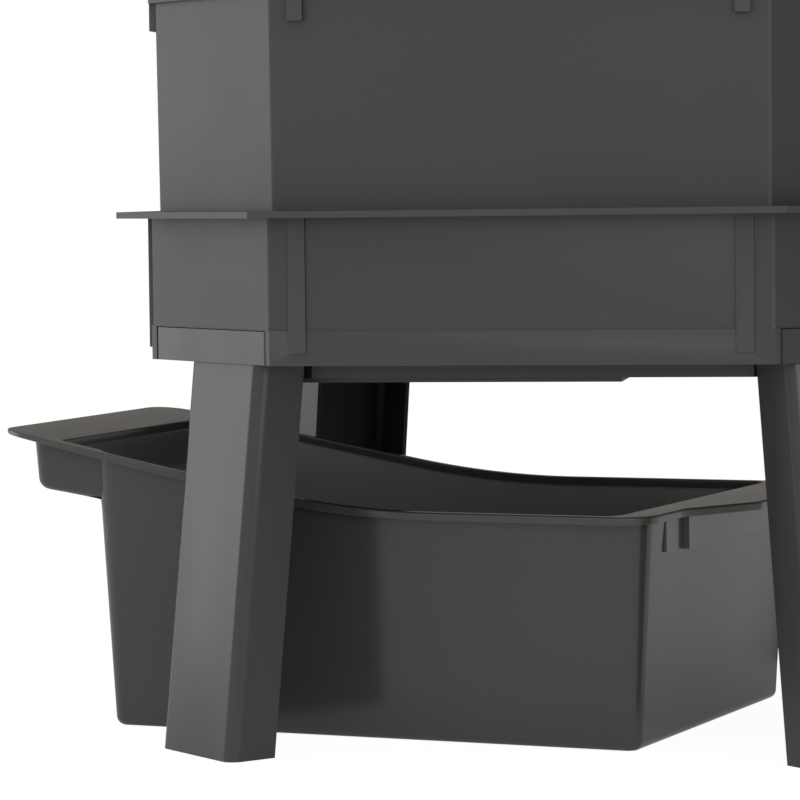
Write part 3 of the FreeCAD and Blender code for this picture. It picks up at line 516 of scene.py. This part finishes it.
class Station:
    """One place on the tray's perimeter, on its near half; it gives the skin's outlines in plan there.

    The parts follow each other round the tray: lip, corner, side, turn, bay and end. The value is v on lip
    and end, u on side, an angle in degrees on corner and turn, and the t of bay_path on bay.
    """

    def __init__(self, part, value):
        self.part = part
        self.value = value

    @property
    def stepped(self):
        return self.part in ("bay", "end")

    def wall(self, radius):
        """The trough's outline without the bay, radius from the core."""
        if self.part == "lip":
            return CORE_U + radius, self.value
        if self.part == "side":
            return self.value, -CORE_V - radius
        if self.part == "end":
            return -CORE_U - radius, self.value
        angle = self.value if self.part != "bay" else -VALLEY_TURN - (180.0 - VALLEY_TURN) * self.value
        angle = math.radians(angle)
        centre = CORE_U if self.part == "corner" else -CORE_U
        return centre + radius * math.cos(angle), -CORE_V + radius * math.sin(angle)

    def outline(self, radius, inset, end, round_end):
        """The trough's outline with the bay added."""
        if self.part == "bay":
            return bay_path(self.value, radius, inset, end, round_end)
        if self.part == "end":
            u, v = bay_path(1.0, radius, inset, end, round_end)
            return u, v * self.value / -CORE_V
        return self.wall(radius)

    def rim(self, inset):
        """The flange's edge, moved in by inset."""
        if self.part == "lip":
            reach = share(self.value, -LIP_ROOT, LIP_ROOT - LIP_NOSE)
            return RIM_END + (LIP_END - RIM_END) * reach - inset, self.value
        if self.part == "corner":
            angle = math.radians(self.value)
            return (CORE_U + (RIM_END - CORE_U - inset) * math.cos(angle),
                    -CORE_V + (SIDE_V - CORE_V - inset) * math.sin(angle))
        if self.part == "side":
            return self.value, -SIDE_V + inset
        if self.part == "turn":
            return self.wall(rho(RIM_HIGH))[0], -SIDE_V + inset
        if self.part == "end":
            return -GRIP_END + inset, self.value * (SIDE_V - GRIP_ROUND) / CORE_V
        start = Station("turn", -VALLEY_TURN).rim(0)[0]
        if self.value <= 0.5:
            return start + (GRIP_ROUND - GRIP_END - start) * self.value * 2, -SIDE_V + inset
        angle = (self.value - 0.5) * math.pi
        return (GRIP_ROUND - GRIP_END - (GRIP_ROUND - inset) * math.sin(angle),
                GRIP_ROUND - SIDE_V - (GRIP_ROUND - inset) * math.cos(angle))

    def mouth(self, out):
        """The mouth's edge, moved out by out."""
        u = self.outline(rho(RIM_LOW), 0.0, OPENING_END, OPENING_ROUND)[0]
        u, v = self.outline(rho(rim_z(u)) - SKIN + out, 0.0, OPENING_END + out, OPENING_ROUND)
        return min(u, LEDGE_FROM + (u - LEDGE_FROM) * LEDGE_SHARE), v


def stations():
    made = [Station("lip", v) for v in LIP_STATIONS]
    made += [Station("corner", -90.0 * k / CORNER_STEPS) for k in range(1, CORNER_STEPS)]
    made += [Station("side", CORE_U - CORE_U * 2 * k / SIDE_STEPS) for k in range(SIDE_STEPS + 1)]
    made += [Station("turn", -90.0 - (VALLEY_TURN - 90.0) * k / TURN_STEPS) for k in range(1, TURN_STEPS)]
    made += [Station("bay", k / BAY_STEPS) for k in range(BAY_STEPS + 1)]
    return made + [Station("end", -CORE_V * (1 - k / END_STEPS)) for k in range(1, END_STEPS + 1)]


def outer_rings(near):
    """The skin's rings from the foot up to the flange's underside; each ring is a list of points."""
    rings = []
    for angle in quarter(FOOT_STEPS):
        radius = rho(FOOT_ROUND) - FOOT_ROUND + FOOT_ROUND * math.sin(angle)
        rings.append([s.wall(radius) + (FOOT_ROUND - FOOT_ROUND * math.cos(angle),) for s in near])
    rings.append([s.wall(rho(MID_LEVEL)) + (MID_LEVEL,) for s in near])
    ring = []
    for s in near:
        u, v = s.wall(rho(VALLEY_OUT if s.stepped else WALL_FROM))
        ring.append((u, v, bay_floor(u) if s.stepped else WALL_FROM))
    rings.append(ring)
    for k, angle in enumerate(quarter(BAY_FOOT_STEPS)):
        level = WALL_FROM + WALL_STEP * (k + 1)
        ring = []
        for s in near:
            if s.stepped:
                inset = BAY_FOOT * (1 - math.sin(angle))
                u, v = s.outline(rho(BAY_LEVEL), inset, BAY_END - BAY_LEAN, BAY_ROUND)
                ring.append((u, v, bay_floor(u) + BAY_FOOT * (1 - math.cos(angle))))
            else:
                ring.append(s.wall(rho(level)) + (level,))
        rings.append(ring)
    ring = []
    for s in near:
        u = s.outline(rho(RIM_LOW), 0.0, BAY_END, BAY_ROUND)[0]
        u, v = s.outline(rho(rim_z(u) - FLANGE), 0.0, BAY_END, BAY_ROUND)
        ring.append((u, v, rim_z(u) - FLANGE))
    return rings + [ring]


def rim_rings(near):
    """The flange from its underside round its banded edge and over its top to the mouth."""
    rings = []
    for inset, drop in RIM_PROFILE:
        ring = []
        for s in near:
            u, v = s.rim(inset)
            full = 1.0 - THIN_SHARE * share(-u, THIN_FROM, THIN_OVER)
            ring.append((u, v, rim_z(u) + drop * full))
        rings.append(ring)
    for part in TOP_PARTS:
        ring = []
        for s in near:
            (u0, v0), (u1, v1) = s.rim(TOP_FROM), s.mouth(MOUTH_OUT)
            u, v = u0 + (u1 - u0) * part, v0 + (v1 - v0) * part
            ring.append((u, v, rim_z(u)))
        rings.append(ring)
    return rings


def inner_rings(near):
    """The skin from the mouth down to the trough's floor."""
    rings = []
    for out, drop in MOUTH_PROFILE:
        rings.append([s.mouth(out) + (rim_z(s.mouth(out)[0]) + drop,) for s in near])
    for inset, lift in INNER_FOOT:
        level = INNER_FOOT_LEVEL + lift
        ring = []
        for s in near:
            if s.stepped:
                u, v = s.outline(rho(BAY_LEVEL) - SKIN, inset, OPENING_END, OPENING_ROUND)
                ring.append((u, v, bay_floor(u) + SKIN + lift))
            else:
                ring.append(s.wall(rho(level) - SKIN) + (level,))
        rings.append(ring)
    ring = []
    for s in near:
        u, v = s.wall(rho(VALLEY_IN if s.stepped else INNER_WALL) - SKIN)
        ring.append((u, v, bay_floor(u) + SKIN if s.stepped else INNER_WALL))
    rings.append(ring)
    for angle in reversed(quarter(FOOT_STEPS)):
        radius = rho(SKIN + INNER_ROUND) - SKIN - INNER_ROUND + INNER_ROUND * math.sin(angle)
        rings.append([s.wall(radius) + (SKIN + INNER_ROUND - INNER_ROUND * math.cos(angle),) for s in near])
    return rings


def tray_skin():
    """Points and faces of the skin and its aprons, and which of the faces have the inside's paler material,
    painted light.
    """
    near = stations()
    outside = outer_rings(near) + rim_rings(near)
    rings = outside + inner_rings(near)
    points, faces = [], []
    for ring in rings:
        points += ring + [(u, -v, z) for u, v, z in ring[-2:0:-1]]
    count = 2 * len(near) - 2
    for r in range(len(rings) - 1):
        for k in range(count):
            a, b = r * count + k, r * count + (k + 1) % count
            faces.append((a, a + count, b + count, b))
    faces.append(tuple(len(points) - 1 - k for k in range(count)))
    # The inner faces from these rings down, and the floor, get the painted light
    painted_light_faces = range(count * (len(outside) + PAINTED_LIGHT_FROM), len(faces))
    faces.append(tuple(range(count)))
    top = RIM_LOW - FLANGE + APRON_SUNK
    for half, end, foot in APRONS:
        add_shell(points, faces, *box_faces((APRON_ROOT, -half, foot), (end, half, top)))
    return points, faces, painted_light_faces


def as_pictured(u, v):
    """The moulding isn't square: its lip end leans, and its far side draws in towards the grip."""
    lean = share(u, SKEW_FROM, SKEW_OVER)
    lean = lean * lean * (3.0 - 2.0 * lean)
    draw = share(-u, -DRAW_FROM, DRAW_OVER) ** DRAW_POWER * (v + SIDE_V) / (2.0 * SIDE_V)
    return u + END_SKEW * (v - SKEW_ABOUT) * lean - GRIP_SKEW * draw, v - GRIP_DRAW * draw


def make_tray():
    points, faces, painted_light_faces = tray_skin()
    turn = math.radians(TANK_TURN)
    placed = []
    for u, v, z in points:
        u, v = as_pictured(u, v)
        x = TANK_PLACE[0] + u * math.cos(turn) - v * math.sin(turn)
        y = TANK_PLACE[1] + u * math.sin(turn) + v * math.cos(turn)
        placed.append((x / 1000 + AXIS_X, y / 1000, z / 1000))
    mesh = bpy.data.meshes.new("collecting_tray_skin")
    mesh.from_pydata(placed, [], faces)
    mesh.shade_smooth()
    mesh.set_sharp_from_angle(angle=TANK_SHARP)
    mesh.materials.append(tank)
    mesh.materials.append(tank_inside_painted_light)
    for index in painted_light_faces:
        mesh.polygons[index].material_index = 1
    skin = add_object("collecting_tray_skin", mesh)
    skin.modifiers.new("normals", "WEIGHTED_NORMAL").keep_sharp = True
    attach(skin, "collecting_tray")
    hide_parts("collecting_tray")


make_tray()


# Floor: half its side, the paper's tone, the glow's strength, and the glow's part to object and to camera
FLOOR_HALF = 12.0
PAPER = (0.8, 0.8, 0.8, 1.0)
GLOW, GLOW_TO_OBJECT, GLOW_TO_CAMERA = 1.1, 0.25, 0.87


def make_floor():
    """Pale paper: lit as such, and near white where the camera looks straight at it."""
    material, graph = new_material("floor_paper")
    out = graph.node("ShaderNodeOutputMaterial")
    lit, bright = graph.two_shaders(out, GLOW_TO_OBJECT, GLOW_TO_CAMERA)
    graph.link(graph.node("ShaderNodeBsdfDiffuse", in_Color=PAPER).outputs["BSDF"], lit)
    graph.link(graph.node("ShaderNodeEmission", in_Strength=GLOW).outputs["Emission"], bright)
    mesh = bpy.data.meshes.new("floor")
    corners = ((-1.0, -1.0), (1.0, -1.0), (1.0, 1.0), (-1.0, 1.0))
    mesh.from_pydata([(x * FLOOR_HALF, y * FLOOR_HALF, 0.0) for x, y in corners], [], [(0, 1, 2, 3)])
    mesh.materials.append(material)
    add_object("floor", mesh)


# Room: its colours behind the object, behind the viewer and at the far right, the way to the last two, where
# each starts, as the cosine of the angle from there, and how far the right one replaces the others
BACK, FRONT, RIGHT = (0.24, 0.226, 0.208), (0.95, 0.95, 0.95), (0.1, 0.1, 0.1)
FRONT_WAY, FRONT_FROM = (-0.3, -1.0, 0.0), -0.6
RIGHT_WAY, RIGHT_FROM, RIGHT_SHARE = (1.0, 0.0, 0.0), 0.6, 0.6


def make_world():
    """A room, brighter behind the viewer and dimmer and warmer behind the object, and white to the camera."""
    world = bpy.data.worlds.new("studio")
    world.use_nodes = True
    graph = Graph(world.node_tree)
    out = graph.node("ShaderNodeOutputWorld")
    direction = graph.node("ShaderNodeTexCoord").outputs["Generated"]
    front = graph.ramp(graph.dot(direction, FRONT_WAY), FRONT_FROM, 1.0, 0.0, 1.0)
    right = graph.ramp(graph.dot(direction, RIGHT_WAY), RIGHT_FROM, 1.0, 0.0, RIGHT_SHARE)
    colour = graph.blend(right, graph.blend(front, BACK, FRONT), RIGHT)
    room, white = graph.two_shaders(out, 0.0, 1.0)
    ambient = graph.node("ShaderNodeBackground")
    graph.link(colour, ambient.inputs["Color"])
    graph.link(ambient.outputs["Background"], room)
    plain = graph.node("ShaderNodeBackground", in_Color=(1.0, 1.0, 1.0, 1.0))
    graph.link(plain.outputs["Background"], white)
    scene.world = world


# Lamps: place, the point they face, width and height, and watts
LAMPS = {
    "key_left": ((-2.6, 0.35, 0.85), (0.0, 0.0, 0.25), (2.0, 2.1), 19.5),
    "top": ((0.0, -0.6, 3.0), (0.0, 0.0, 0.0), (2.0, 2.0), 14.0),
    "right_low": ((2.2, -3.3, 0.95), (0.0, 0.0, 0.1), (1.6, 0.8), 16.0),
}


def make_lamp(name, place, aim, size, power):
    data = bpy.data.lights.new(name, "AREA")
    data.shape = "RECTANGLE"
    data.size, data.size_y = size
    data.energy = power
    lamp = add_object(name, data)
    lamp.location = place
    lamp.rotation_mode = "QUATERNION"
    lamp.rotation_quaternion = (Vector(aim) - Vector(place)).to_track_quat("-Z", "Y")


make_floor()
make_world()
for name, settings in LAMPS.items():
    make_lamp(name, *settings)
